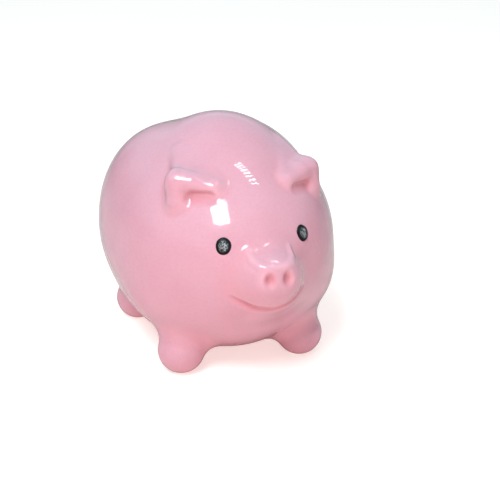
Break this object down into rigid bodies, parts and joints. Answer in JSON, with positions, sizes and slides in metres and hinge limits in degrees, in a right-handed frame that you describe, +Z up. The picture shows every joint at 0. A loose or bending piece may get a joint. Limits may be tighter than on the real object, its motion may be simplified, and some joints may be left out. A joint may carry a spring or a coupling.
{
  "type": "piggy bank",
  "caption": "Hollow glazed ceramic piggy bank with a coin slot in its back and a soft stopper in its belly.",
  "frame": {"origin": "on the surface the bank stands on, under the middle of its bounding box", "axes": "+Z up, the pig faces -Y, and +X is the pig's left side"},
  "size_m": [0.097, 0.1388, 0.1],
  "materials": {
    "pink_glaze": "gloss",
    "black_enamel": "gloss",
    "soft_stopper": "satin"
  },
  "bodies": {
    "pig": {"body_shell": "pink_glaze", "ear_left": "pink_glaze", "ear_right": "pink_glaze", "leg_front_left": "pink_glaze", "leg_front_right": "pink_glaze", "leg_rear_left": "pink_glaze", "leg_rear_right": "pink_glaze", "tail": "pink_glaze", "eye_left": "black_enamel", "eye_right": "black_enamel"},
    "stopper": {"stopper": "soft_stopper"}
  },
  "joints": [
    {"name": "stopper_pull", "type": "slide", "parent": "pig", "child": "stopper", "axis": [0, 0, -1], "range_m": [0, 0.03]}
  ]
}
